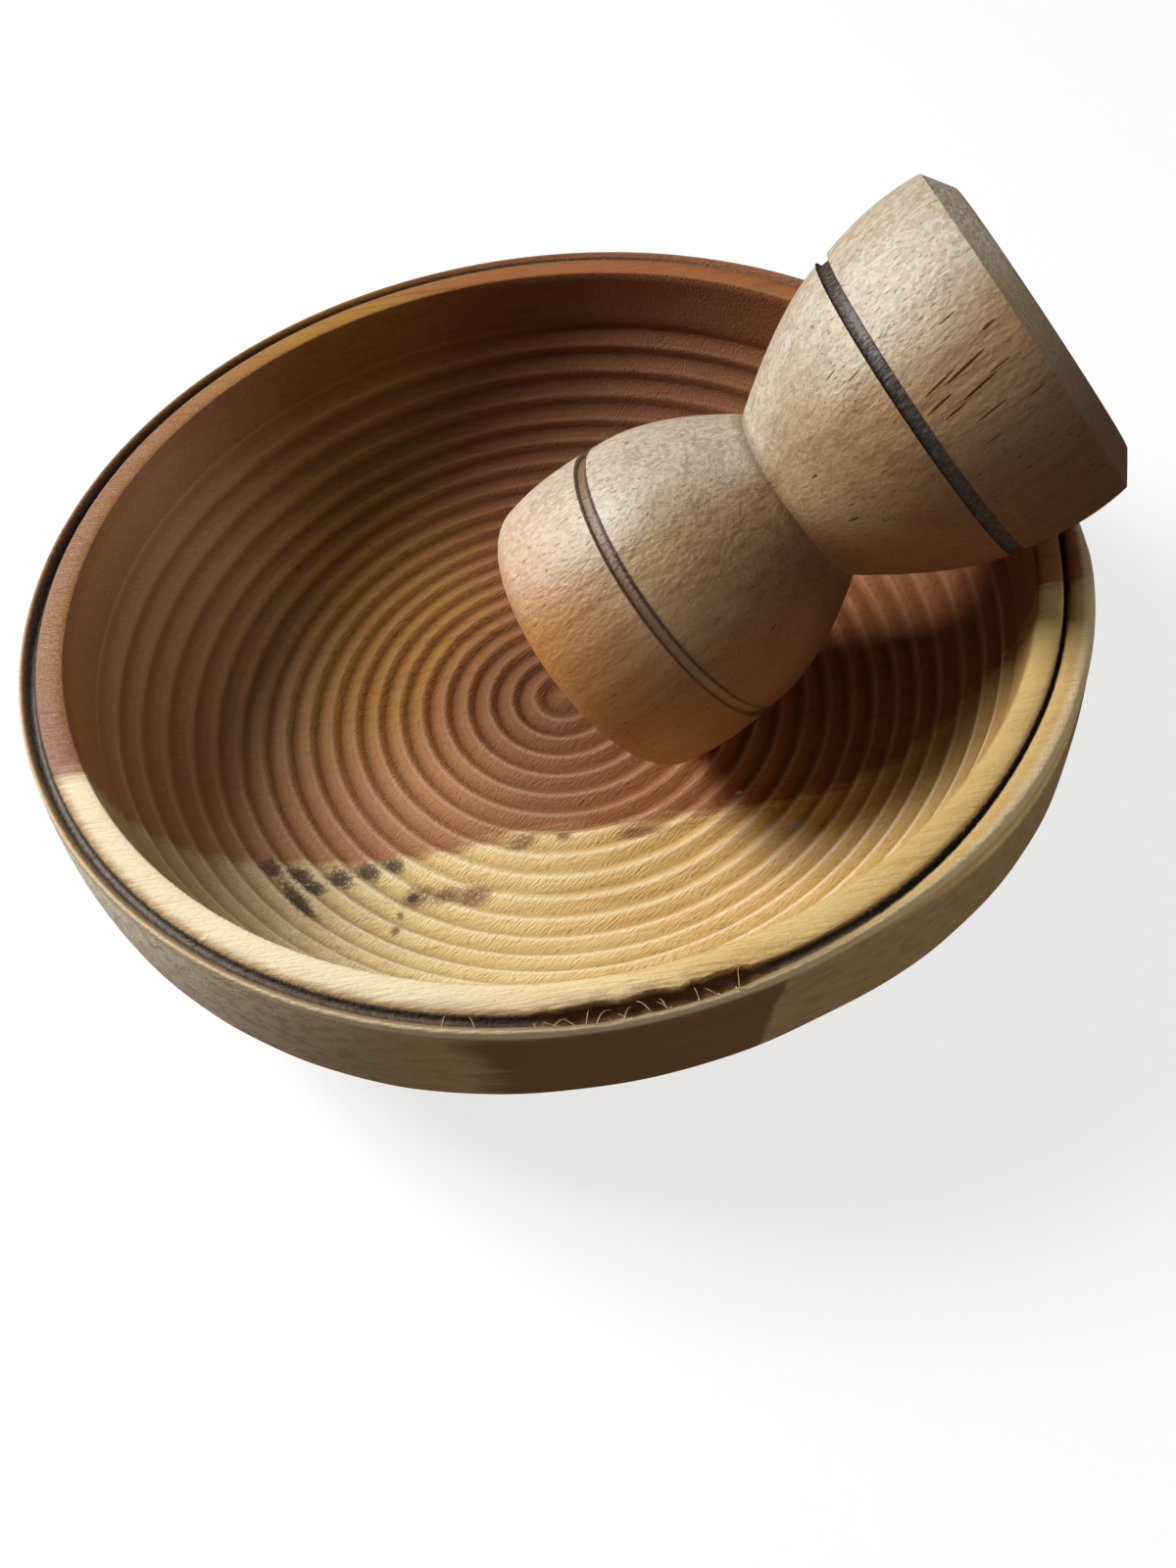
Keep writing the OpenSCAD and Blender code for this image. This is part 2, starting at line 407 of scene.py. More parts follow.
pestle_outline = [(26.5 * i / 8, 0.25 * (i / 8) ** 2) for i in range(8)]
pestle_outline += arc(LOWER_R - 6.8, 6.2, 6, -82, 0, 12)
pestle_outline += curve((LOWER_R - 0.6, 7.2), (LOWER_R + 0.4, 14.2), (LOWER_R - 0.8, LOWER_GROOVE - 1.4), 14)
pestle_outline += cut(LOWER_R - 1.0, LOWER_GROOVE, CUT_W)
pestle_outline += curve((LOWER_R - 1.3, LOWER_GROOVE + 1.4), (LOWER_R - 2, 0.36 * PESTLE_L),
                        (WAIST_R, WAIST_AT), 26)
pestle_outline += curve((WAIST_R + 0.3, WAIST_AT + 0.4), (UPPER_R - 4.1, 0.66 * PESTLE_L),
                        (UPPER_R - 2.1, UPPER_GROOVE - 1.4), 26)
pestle_outline += cut(UPPER_R - 1.8, UPPER_GROOVE, CUT_W)
pestle_outline += curve((UPPER_R - 1.6, UPPER_GROOVE + 1.4), (UPPER_R + 0.9, 0.88 * PESTLE_L),
                        (UPPER_R - 0.9, PESTLE_L - 4), 20)
pestle_outline += curve((UPPER_R - 1.0, PESTLE_L - 3.7), (UPPER_R - 4, PESTLE_L - 1.8),
                        (UPPER_R - 6.9, PESTLE_L - 0.1), 8)
pestle_outline += [((UPPER_R - 7.6) * i / 8, PESTLE_L) for i in range(8, -1, -1)]
pestle = turn("turned_pestle", pestle_outline, [(300, 360)])

# %% [markdown]
# ## Checks and pits
# Short cracks run along the grain beside the upper groove, and a few small pits mark the cup under it.
# Each is a sliver-shaped cut, so they are real hollows with shadows of their own. One cutter is modelled
# from a sphere and copied, the copies are joined, and a single Boolean takes them all away.

# %% Cut the checks and pits
# Each is (height on the axis, direction round it, length, width, depth, slant), and a cutter's
# half-axes are the shares WIDE and DEEP of the width and depth, and half the length.
WIDE = 0.75
DEEP = 0.7
CHECKS = [
    (95.1, 224.1, 9.5, 0.42, 0.9, 8), (95.5, 230.6, 7.5, 0.36, 0.8, 7), (94.8, 238.0, 7.0, 0.30, 0.6, 5),
    (90.6, 223.6, 7.0, 0.34, 0.7, 9), (88.6, 228.4, 5.5, 0.40, 0.8, 8), (90.3, 232.5, 5.0, 0.30, 0.6, 6),
    (101.7, 218.6, 2.6, 0.45, 0.6, 6), (99.7, 229.0, 3.6, 0.26, 0.5, 4), (102.5, 240.4, 3.0, 0.22, 0.4, 3),
    (97.0, 210.5, 3.2, 0.22, 0.4, 6), (92.8, 245.0, 3.0, 0.20, 0.4, 4),
    (63.7, 223.7, 1.5, 0.50, 0.6, 0), (65.0, 247.5, 2.6, 0.45, 0.7, 0), (69.9, 252.5, 1.6, 0.80, 0.6, 10),
    (66.4, 241.3, 1.2, 0.35, 0.5, 0), (74.8, 236.0, 1.4, 0.25, 0.4, 0), (35.9, 160.3, 1.2, 0.60, 0.5, 0),
    (41.2, 264.4, 1.6, 0.35, 0.5, 0), (79.5, 206.0, 3.4, 0.22, 0.4, 5), (76.2, 200.0, 2.8, 0.22, 0.4, 4),
    (96.0, 130.0, 5.0, 0.30, 0.6, 4), (90.5, 20.0, 6.5, 0.34, 0.7, -5), (99.0, 75.0, 3.0, 0.24, 0.5, 3),
    (70.0, 60.0, 2.0, 0.35, 0.5, 0), (16.0, 300.0, 3.0, 0.26, 0.4, 3), (20.0, 95.0, 2.6, 0.24, 0.4, -3)]


def pestle_radius(w):
    """Radius of the pestle's side at a height on its axis."""
    side = [p for p in pestle_outline if p[0] > WAIST_R - 1]
    before = max((p for p in side if p[1] <= w), key=lambda p: p[1])
    after = min((p for p in side if p[1] > w), key=lambda p: p[1])
    t = (w - before[1]) / (after[1] - before[1])
    return before[0] + t * (after[0] - before[0])


cutters = []
for w, direction, length, width, depth, slant in CHECKS:
    bpy.ops.object.select_all(action="DESELECT")
    bpy.ops.mesh.primitive_uv_sphere_add(segments=8, ring_count=8, radius=MM)
    cutter = bpy.context.object
    rise = (pestle_radius(w + 1) - pestle_radius(w - 1)) / 2
    cutter.data.transform(Matrix.Translation(Vector((pestle_radius(w), 0, w)) * MM)
                          @ Matrix.Rotation(math.atan(rise), 4, "Y")
                          @ Matrix.Rotation(math.radians(slant), 4, "X")
                          @ Matrix.Diagonal((depth * DEEP, width * WIDE, length / 2, 1)))
    cutter.data.transform(Matrix.Rotation(math.radians(direction), 4, "Z"))
    cutters.append(cutter)
for cutter in cutters:
    cutter.select_set(True)
bpy.ops.object.join()
slivers = bpy.context.object
bpy.ops.object.select_all(action="DESELECT")
pestle.select_set(True)
bpy.context.view_layer.objects.active = pestle
take = pestle.modifiers.new("checks", "BOOLEAN")
take.operation = "DIFFERENCE"
take.solver = "EXACT"
take.use_self = True
take.object = slivers
bpy.ops.object.modifier_apply(modifier="checks")
bpy.data.objects.remove(slivers)
bpy.ops.object.shade_smooth_by_angle(angle=math.radians(38))
pestle.data.transform(PESTLE_PLACE)
print(len(CHECKS), "cuts; the pestle has", len(pestle.data.polygons), "faces")
print("pestle's top is", round(max(v.co.z for v in pestle.data.vertices) / MM, 1), "mm up")

# %% [markdown]
# ## Describing a finish
# Wood is a recipe of patterns, and a recipe reads best as arithmetic. A small class wraps a node's
# output so that ordinary operators add the nodes, and a second one holds a material and adds any other
# node. Everything reads Object coordinates in millimetres, so a pattern runs through the block of wood.

# %% Arithmetic on node outputs
class Value:
    """An output that can be added, subtracted and multiplied."""
    def __init__(self, finish, socket):
        self.finish = finish
        self.socket = socket

    def __add__(self, other):
        return self.finish.maths("ADD", self, other)

    def __sub__(self, other):
        return self.finish.maths("SUBTRACT", self, other)

    def __rsub__(self, other):
        return self.finish.maths("SUBTRACT", other, self)

    def __mul__(self, other):
        return self.finish.maths("MULTIPLY", self, other)

    __radd__ = __add__
    __rmul__ = __mul__


# %% A material and its patterns
TO_MM = (1000, 1000, 1000)


def tint(red, green, blue):
    """A screen colour, 0 to 255, as the light values that a shader uses."""
    return tuple(((c / 255 + 0.055) / 1.055) ** 2.4 for c in (red, green, blue)) + (1.0,)


class Finish:
    """A material made of nodes."""
    def __init__(self, name):
        self.material = bpy.data.materials.new(name)
        self.material.use_nodes = True
        self.tree = self.material.node_tree
        self.shader = self.tree.nodes["Principled BSDF"]

    def node(self, kind, settings, sockets, output=0):
        """Adds a node: its settings first, then a value or a link for each named socket."""
        made = self.tree.nodes.new(kind)
        for key, value in settings.items():
            setattr(made, key, value)
        for key, value in sockets.items():
            if isinstance(value, Value):
                self.tree.links.new(value.socket, made.inputs[key])
            else:
                made.inputs[key].default_value = value
        return Value(self, made.outputs[output])

    def maths(self, operation, *values):
        return self.node("ShaderNodeMath", {"operation": operation}, dict(enumerate(values)))

    def feed(self, **sockets):
        """Sets the shader's own sockets; underscores stand for spaces."""
        for key, value in sockets.items():
            socket = self.shader.inputs[key.replace("_", " ")]
            if isinstance(value, Value):
                self.tree.links.new(value.socket, socket)
            else:
                socket.default_value = value

    def grid(self, scale=(1, 1, 1), rotation=(0, 0, 0), shift=(0, 0, 0), kind="POINT"):
        """Object coordinates, turned and scaled."""
        place = self.node("ShaderNodeTexCoord", {}, {}, "Object")
        return self.node("ShaderNodeMapping", {"vector_type": kind},
                         {"Vector": place, "Scale": scale, "Rotation": rotation, "Location": shift})

    def stretch(self, grid, scale):
        return self.node("ShaderNodeVectorMath", {"operation": "MULTIPLY"}, {0: grid, 1: scale})

    def cloud(self, grid, detail=2.0, rough=0.5, bend=0.0):
        """Soft noise, about 0.5 on average; one unit of the grid is one lump."""
        return self.node("ShaderNodeTexNoise", {"noise_dimensions": "3D"},
                         {"Vector": grid, "Scale": 1.0, "Detail": detail, "Roughness": rough,
                          "Distortion": bend})

    def ease(self, value, start, end):
        """0 at start, 1 at end, smooth between."""
        return self.node("ShaderNodeMapRange", {"interpolation_type": "SMOOTHSTEP"},
                         {"Value": value, "From Min": start, "From Max": end})

    def blend(self, a, b, mask, mode="MIX"):
        """Lays colour b on colour a as far as the mask says."""
        return self.node("ShaderNodeMix", {"data_type": "RGBA", "blend_type": mode, "clamp_factor": True},
                         {"Factor": mask, 6: a, 7: b}, 2)

    def axes(self, grid):
        split = self.node("ShaderNodeSeparateXYZ", {}, {"Vector": grid})
        outputs = split.socket.node.outputs
        return [Value(self, outputs[i]) for i in range(3)]

    def mark(self, name):
        return self.node("ShaderNodeAttribute", {"attribute_name": name}, {}, "Fac")


# %% [markdown]
# ## The bowl's wood
# The bowl was cut from a board whose grain runs left to right. Most of it is red-brown heartwood, and
# the front strip is yellow sapwood with a ragged border. Inside, light and shade are painted into the
# colour: the left wall, in the rim's shadow, is painted paler as fill light, and the back, the right and
# the middle are painted darker as shade. On the inside the tool left short slanting ticks, painted darker
# in their pits as shade. A picture wrapped round the bowl would stretch over the ribs, so the grain is
# noise stretched along one direction of the block, and every turned surface shows the grain that it
# would really cut.

# %% Grain, heartwood and sapwood
HEART_RED = tint(154, 96, 52)
HEART_GOLD = tint(162, 115, 44)
HEART_DARK = tint(108, 62, 30)
SAP_PALE = tint(240, 216, 155)
SAP_GOLD = tint(214, 170, 96)
SAP_FILL_PALE = tint(232, 216, 182)
HEART_FILL_PALE = tint(208, 166, 130)
HEART_PALE = tint(190, 138, 96)
HEART_BACK_SHADE = tint(98, 52, 20)
HEART_MIDDLE_SHADE = tint(108, 68, 34)
FINE_SHADE = (0.55, 0.5, 0.42, 1)
TICK_SHADE = (0.62, 0.5, 0.4, 1)
TICK_SLANT = math.radians(-35)
wood = Finish("bowl_wood")
mm_grid = wood.grid(scale=TO_MM)
x, y, z = wood.axes(mm_grid)
radius = wood.maths("SQRT", x * x + y * y)
streaks = wood.cloud(wood.stretch(mm_grid, (0.022, 0.55, 0.55)), detail=4, rough=0.6)
fine = wood.cloud(wood.stretch(mm_grid, (0.10, 2.2, 2.2)), detail=3, rough=0.6)
patches = wood.cloud(wood.stretch(mm_grid, (0.018, 0.03, 0.03)), detail=2)
grit = wood.cloud(wood.stretch(mm_grid, (1.1, 1.1, 1.1)), detail=4, rough=0.7)
ticks = wood.cloud(wood.stretch(wood.grid(TO_MM, (0, 0, TICK_SLANT)), (0.5, 2.4, 1.5)),
                   detail=3, rough=0.6)
golden = wood.ease(x * -1 + (patches - 0.5) * 60, 8, 36) * wood.ease(y + (patches - 0.5) * 30, -26, -4)
heart = wood.blend(HEART_RED, HEART_GOLD, golden)
inside = wood.mark("inside")
# Painted fill light: the left wall lies in the rim's shadow and is painted paler, as if more light reached
# it.
fill_lift_heart = wood.ease(x * -1, 45, 88) * inside
heart = wood.blend(heart, HEART_DARK, wood.ease(streaks, 0.48, 0.72) * 0.45)
heart = wood.blend(heart, HEART_FILL_PALE, fill_lift_heart * 0.78)
pale_front = wood.ease(x * -1, -10, 40) * wood.ease(y * -1, -5, 25) * inside
heart = wood.blend(heart, HEART_PALE, pale_front * 0.55)
# Painted shade: the back wall, which faces away from the window, and the right wall under the pestle are
# darkened.
painted_shade_back_right = wood.maths("MAXIMUM", wood.ease(y + (patches - 0.5) * 30, 42, 84), wood.ease(x, 60, 100) * 0.25)
heart = wood.blend(heart, HEART_BACK_SHADE, painted_shade_back_right * 0.6 * inside)
# Painted shade: the middle, under the pestle and among the deep ribs, is darkened.
painted_shade_middle = wood.ease(radius + (patches - 0.5) * 30, 40, 5)
heart = wood.blend(heart, HEART_MIDDLE_SHADE, painted_shade_middle * 0.75)
sap = wood.blend(SAP_PALE, SAP_GOLD,
                 wood.ease(streaks, 0.4, 0.68) * 0.45 + wood.ease(patches, 0.4, 0.65) * 0.3)
# Painted fill light on the sapwood at the left, which lies in the rim's shadow.
fill_lift_sap = wood.ease(x * -1, 34, 80) * inside
sap = wood.blend(sap, SAP_FILL_PALE, fill_lift_sap * 0.55)
sap = wood.blend(sap, SAP_GOLD, wood.ease(x + y * 0.3, -60, 40) * 0.6 * inside)
ragged = (streaks - 0.5) * 8 + (patches - 0.5) * 10
right_reach = wood.ease(x, 55, 100) * 8
sapwood = wood.ease(y + ragged - right_reach, -37, -42.5)
colour = wood.blend(heart, sap, sapwood)
colour = wood.blend(colour, FINE_SHADE, wood.ease(fine, 0.52, 0.78) * 0.5, "MULTIPLY")
# The tool's ticks are darkened as painted shade in their pits.
colour = wood.blend(colour, TICK_SHADE, wood.ease(ticks, 0.54, 0.68) * inside * 0.45, "MULTIPLY")
print("grain, heartwood and sapwood:", len(wood.tree.nodes), "nodes")

# %% [markdown]
# ## Painted highlight and shade on the ribs
# The crests are painted pale, partly as wear from hands and the pestle and partly as the highlight they
# catch, most at the front, and the valleys are painted dark as shade. The sapwood on the right wall is
# painted darker as the pestle's shadow. The crest attribute says how high each point stands on its rib,
# so one mask from its top and one from its bottom are enough. Working out the valleys' shade from the
# surface itself would be slower and less even.

# %% Painted crest highlights and valley shade
SAP_SHADED = tint(150, 116, 62)
CREST_PALE_AND_HIGHLIGHT = (1.0, 0.88, 0.66, 1)
VALLEY_SHADE = (0.5, 0.4, 0.29, 1)
crest = wood.mark("crest")
# Painted shadow: the sapwood on the right wall, in the pestle's shadow, is darkened.
shaded_side = wood.ease(x, 52, 84) * inside * sapwood
colour = wood.blend(colour, SAP_SHADED, shaded_side * 0.6)
in_front = wood.ease(y, 10, -30)
# Painted highlight with wear: the crests are lightened, most at the front where they catch the light.
crest_wear_and_highlight = wood.ease(crest, 0.78, 1.0) * inside * (0.05 + in_front * (0.1 + 0.4 * sapwood))
crest_wear_and_highlight = crest_wear_and_highlight * (1 - 0.5 * shaded_side)
colour = wood.blend(colour, CREST_PALE_AND_HIGHLIGHT, crest_wear_and_highlight)
# Painted shade in the valleys, weaker at the front.
painted_valley_shade = wood.ease(crest, 0.7, 0.05) * inside * wood.ease(radius, 104, 96)
colour = wood.blend(colour, VALLEY_SHADE, painted_valley_shade * (0.76 - 0.3 * in_front), "MULTIPLY")
print("with worn ribs:", len(wood.tree.nodes), "nodes")

# %% [markdown]
# ## Marks on the floor
# A few spots of mould and some rusty marks sit where the valleys hold damp, and there are two pale flecks.
# Noise would scatter such marks anywhere. These are few and have their places, so each is a soft ellipse
# with a gritty edge, listed by its centre, size, length and turn.

# %% Mould and small marks
def spot(cx, cy, size, length=1.0, turned=0.0):
    """A soft spot on the floor, centred at (cx, cy), stretched along one direction."""
    c = math.cos(math.radians(turned))
    s = math.sin(math.radians(turned))
    across = (x - cx) * (c / length) + (y - cy) * (s / length)
    up = (y - cy) * c - (x - cx) * s
    away = wood.maths("SQRT", across * across + up * up) + (grit - 0.5) * 2.4 * size
    return wood.ease(away, size * 1.25, size * 0.4)


MOULD = [(-67.6, -40.8, 2.2, 1.6, -60), (-61.7, -42.6, 2.4, 1.5, -50), (-59.0, -46.0, 2.2, 1.3, -40),
         (-53.8, -43.2, 2.7, 1.3, -50), (-47.9, -41.7, 2.4, 1.4, -45), (-42.4, -40.6, 1.9, 1.5, -30),
         (-61.8, -50.2, 1.8, 4.5, -58), (-38.5, -50.4, 1.2, 1.2, 0)]
RUST = [(-37.4, -50.2, 3.0, 1.5, 20), (-31.5, -50.6, 2.6, 1.8, 10), (-25.5, -51.6, 2.8, 1.8, 5),
        (-14.0, -40.0, 1.8, 2.2, 10), (-4.5, -40.2, 1.3, 1.5, 0), (12.5, -42.2, 1.8, 3.2, 0),
        (-42.0, -59.6, 1.3, 1.0, 0), (-41.2, -55.0, 1.0, 1.0, 0)]
MOULD_DARK = tint(48, 42, 38)
RUST_BROWN = tint(112, 66, 44)
FLECK_PALE = tint(200, 205, 220)
mould = 0.0
for where in MOULD:
    mould = wood.maths("MAXIMUM", spot(*where), mould)
rust = 0.0
for where in RUST:
    rust = wood.maths("MAXIMUM", spot(*where), rust)
colour = wood.blend(colour, RUST_BROWN, rust * inside * wood.ease(grit, 0.28, 0.5) * 0.8)
colour = wood.blend(colour, MOULD_DARK, mould * inside * wood.ease(grit, 0.24, 0.44) * 0.88)
paint_fleck = wood.maths("MAXIMUM", spot(45.3, -47.2, 1.5, 1.3, 0), spot(35.2, -35.9, 0.7))
colour = wood.blend(colour, FLECK_PALE, paint_fleck * inside * 0.6)
print(len(MOULD) + len(RUST), "spots")

# %% [markdown]
# ## The rim and its burnt groove
# A wire pressed into the spinning groove burnt it and toasted the fibres on both sides, most at the left
# and front. At the right the burn has worn to a thin broken line. The sapwood band is bleached at the
# left and dull at the right, and the heartwood band is burnished by hands, with whitish streaks that are
# partly scratches and partly painted sheen. The depths of the torn gap are painted near black as shade.
# The ring attribute keeps the radius at which each point was turned, so the burn stays in the groove
# where the rim has torn or warped.

# %% The scorched groove
TOASTED = tint(120, 76, 44)
BLEACHED = tint(246, 234, 208)
BURNISHED = tint(122, 80, 56)
BURNISHED_SCRATCH_SHEEN = tint(184, 146, 130)
DULL_SAP = tint(196, 162, 100)
BEAD_BROWN = tint(136, 110, 76)
ring = wood.mark("ring")
on_rim = wood.ease(z, BOWL_H - 4.4, BOWL_H - 3.4) * wood.ease(ring, LIP_R - 0.6, LIP_R + 0.4)
left_front = wood.ease(x * -0.85 - y * 0.5, 10, 60)
hatch = wood.cloud(wood.stretch(mm_grid, (0.25, 1.6, 1.6)), detail=3, rough=0.65)
toast_in = wood.ease(ring + (hatch - 0.5) * 7, GROOVE_IN - 3.2, GROOVE_IN + 0.3) * (0.25 + left_front * 0.65)
toast_out = wood.ease(ring + (hatch - 0.5) * 1.6, BOWL_R - 0.2, GROOVE_OUT)
toast = wood.maths("MAXIMUM", toast_in * wood.ease(ring, GROOVE_R + 1, GROOVE_R),
                   toast_out * wood.ease(ring, GROOVE_R, GROOVE_R + 1) * (0.4 + left_front * 0.6))
colour = wood.blend(colour, TOASTED, toast * on_rim * 0.8)
bleached = wood.ease(x * -1, -30, 50) * on_rim * sapwood * wood.ease(ring, GROOVE_IN, GROOVE_IN - 2)
colour = wood.blend(colour, BLEACHED, bleached * 0.6)
burnished = wood.ease(x * -1, 40, 95) * on_rim * (1 - sapwood)
colour = wood.blend(colour, BURNISHED, burnished * 0.5)
# Whitish streaks on the burnished band: scratches, and painted sheen.
colour = wood.blend(colour, BURNISHED_SCRATCH_SHEEN, burnished * wood.ease(hatch, 0.42, 0.62) * 0.25)
dull_right = wood.ease(x, 5, 60) * on_rim * sapwood
colour = wood.blend(colour, DULL_SAP, dull_right * 0.6)
bead = wood.ease(ring, GROOVE_OUT - 0.1, GROOVE_OUT + 0.2) * wood.ease(y, 10, -40)
bead = bead * wood.ease(x - y * 0.3, 88, 60) * on_rim
colour = wood.blend(colour, BEAD_BROWN, bead * (0.55 + 0.4 * hatch))
print("with the rim's tones:", len(wood.tree.nodes), "nodes")

# %% The burn and the torn gap
CHAR_GREY = tint(98, 86, 74)
CHAR_BLACK = tint(32, 28, 25)
CHAR_BROWN = tint(92, 62, 42)
GAP_SHADE_BLACK = tint(14, 10, 7)
GAP_BROWN = tint(84, 56, 32)
GAP_R = 108.4
char_in = wood.ease(ring + (grit - 0.5) * 0.7, GROOVE_IN - 0.1, GROOVE_IN + 0.25)
char_out = wood.ease(ring + (grit - 0.5) * 0.5, GROOVE_OUT + 0.1, GROOVE_OUT - 0.25)
char = char_in * char_out * on_rim
broken = wood.ease(x, 20, 70) * 0.8
burnt_line = wood.ease(wood.maths("ABSOLUTE", ring - GROOVE_R + 0.2) + (grit - 0.5) * 1.4, 0.95, 0.45)
char = char * (1 - broken + broken * burnt_line)
char_tone = wood.blend(CHAR_GREY, CHAR_BLACK, burnt_line)
char_tone = wood.blend(char_tone, CHAR_BROWN, wood.ease(y, 30, 75))
in_tear = wood.ease(x, -13.5, -8) * wood.ease(x, 28, 22) * wood.ease(y, -80, -90)
colour = wood.blend(colour, char_tone, char * (1 - in_tear))
# Painted shade: the depths of the torn gap are near black, mixed with brown fibres.
painted_gap_shade = wood.ease(z, BOWL_H - 0.7, BOWL_H - 2.4) * in_tear * on_rim * wood.ease(ring, GAP_R + 0.8, GAP_R)
colour = wood.blend(colour, wood.blend(GAP_SHADE_BLACK, GAP_BROWN, hatch), painted_gap_shade)
print("with the burn and the gap:", len(wood.tree.nodes), "nodes")

# %% [markdown]
# ## The outside
# The outer wall is weathered and streaked along the grain, with a brown stain at the front that stops at
# a slanting line. It is painted paler at the left, where the window lights it, and darker towards the
# front, away from the window. The outer edge is painted pale, partly as rubbing and partly as a
# highlight. These are broad changes, so masks on height and on the direction round the bowl are enough.

# %% The outer wall, its painted light and shade, and the outer edge's painted highlight
WEATHERED_LIT_PALE = tint(240, 228, 208)
WEATHERED_TAN = tint(178, 148, 106)
WEATHERED_STREAK = tint(136, 104, 64)
STAIN_BROWN = tint(118, 82, 42)
EDGE_HIGHLIGHT_PALE = tint(240, 222, 188)
shoulder = wood.ease(x, 40, 78)
outer = wood.ease(radius, 96, 99) * wood.ease(z + shoulder * 4, BOWL_H - 1.0, BOWL_H - 2.8) * (1 - inside)
# Painted light and shade: paler at the left, where the window falls, and darker towards the front.
weathered_and_lit = wood.blend(WEATHERED_LIT_PALE, WEATHERED_TAN, wood.ease(x, -100, -30))
weathered_and_lit = wood.blend(weathered_and_lit, WEATHERED_STREAK, wood.ease(streaks, 0.42, 0.7) * 0.5)
angle = wood.maths("ARCTAN2", y, x) * (180 / math.pi)
slant = angle - (z - 30) * 0.12 + (grit - 0.5) * 1.5
stain = wood.ease(angle + (patches - 0.5) * 10 + (streaks - 0.5) * 6, -105, -99.5)
stain = stain * wood.ease(slant, -77.0, -77.8)
weathered_and_lit = wood.blend(weathered_and_lit, STAIN_BROWN, stain * 0.9)
colour = wood.blend(colour, weathered_and_lit, outer * wood.ease(y, 20, -40))
# The outer edge is painted pale, as a highlight and as rubbing.
edge_highlight = wood.ease(ring, BOWL_R - 0.75, BOWL_R - 0.35) * wood.ease(z, BOWL_H - 2.2, BOWL_H - 1.4)
colour = wood.blend(colour, EDGE_HIGHLIGHT_PALE, edge_highlight * wood.ease(y, 30, -30) * (0.2 + 0.6 * hatch))
print("with the outside:", len(wood.tree.nodes), "nodes")

# %% [markdown]
# ## Shine and relief
# Dry turned wood is dull, a little shinier where hands have burnished the rim and where the burn has
# glazed. Grit, ticks and fibres stand up by parts of a millimetre. As real shape they would need millions
# of points, so they are bump.

# %% Shine, relief and the bowl's finish
shine = 0.6 - 0.28 * burnished + 0.12 * fine - 0.15 * char
relief = fine * 0.16 + grit * 0.3 + ticks * inside * (0.75 + 0.3 * sapwood)
relief = relief + hatch * (1 - inside) * 0.45 + grit * char * 0.8
bumps = wood.node("ShaderNodeBump", {}, {"Strength": 0.9, "Distance": 0.8 * MM, "Height": relief})
wood.feed(Base_Color=colour, Roughness=shine, Normal=bumps, Specular_IOR_Level=0.3)
bowl.data.materials.append(wood.material)
print("bowl_wood uses", len(wood.tree.nodes), "nodes")

# %% [markdown]
# ## The fibres' finish
# Torn fibres show fresh wood, paler than the weathered surface round them. They are too thin for a grain
# to show, so soft noise between two pale tones is enough.

# %% Pale fibre
FIBRE_PALE = tint(226, 206, 168)
FIBRE_TAN = tint(176, 146, 100)
fibre = Finish("torn_fibre")
strand_noise = fibre.cloud(fibre.grid(scale=(900, 900, 900)))
fibre.feed(Base_Color=fibre.blend(FIBRE_PALE, FIBRE_TAN, strand_noise),
           Roughness=0.55 + 0.2 * strand_noise)
fibres.data.materials.append(fibre.material)
print("torn_fibre uses", len(fibre.tree.nodes), "nodes")

# %% [markdown]
# ## The pestle's wood
# The pestle is a paler, coarser wood whose grain runs along its own axis, with pores that show as short
# dashes. Its side towards the window is whitish, partly crackled from handling and partly painted sheen;
# its side away from the window is painted dark as shade, and its lower end is painted orange for the warm
# light that the bowl throws back on it. The Mapping node set to Texture undoes the pestle's placing, so
# the pattern is laid out as if it stood on its lower end: u and v run across it and w runs along it.

# %% Pale wood with open pores
PESTLE_PALE = tint(168, 136, 98)
PESTLE_TAN = tint(142, 108, 71)
PESTLE_SOFT = tint(186, 164, 134)
TIP_BOUNCE_ORANGE = tint(196, 124, 34)
CHAMFER_GREY = tint(166, 148, 112)
PORE_BROWN = tint(118, 84, 54)
block = Finish("pestle_wood")
own = block.grid(rotation=(0, LEAN, LEAN_AT), shift=tuple(LOWER_END), kind="TEXTURE")
own = block.stretch(own, TO_MM)
u, v, w = block.axes(own)
streak = block.cloud(block.stretch(own, (0.5, 0.5, 0.02)), detail=4, rough=0.6)
soft = block.cloud(block.stretch(own, (0.05, 0.05, 0.03)), detail=2)
dust = block.cloud(block.stretch(own, (1.3, 1.3, 0.9)), detail=4, rough=0.7)
pores = block.cloud(block.stretch(own, (2.6, 2.6, 0.5)), detail=2, rough=0.5)
pore = block.ease(pores, 0.64, 0.74)
dimples = block.cloud(block.stretch(own, (1.1, 1.1, 0.7)), detail=1, rough=0.4)
near_tip = block.ease(w, 30, 3)
body = block.blend(PESTLE_PALE, PESTLE_TAN, block.ease(streak, 0.38, 0.7))
body = block.blend(body, PESTLE_SOFT, block.ease(soft, 0.5, 0.7) * 0.5)
# Painted light: the orange at the lower end stands for warm light thrown back from the bowl.
body = block.blend(body, TIP_BOUNCE_ORANGE, near_tip * 0.5)
body = block.blend(body, CHAMFER_GREY, block.ease(w, PESTLE_L - 4.2, PESTLE_L - 3.4) * 0.6)
body = block.blend(body, PORE_BROWN, pore * 0.7)
print("pale wood with pores:", len(block.tree.nodes), "nodes")

# %% [markdown]
# ## Handling, painted sheen and painted shade
# The side that faces the window, up and to the left, is the one that hands touch; it is painted whitish,
# partly as their wear and partly as the sheen it catches. The side away from the window is painted dark
# brown as shade, and the crease at the waist is painted darker as shade. Dividing by the distance from
# the axis turns a point's place into its direction, and the limit of 20 mm keeps the middle of the flat
# ends from showing a pattern of spokes.

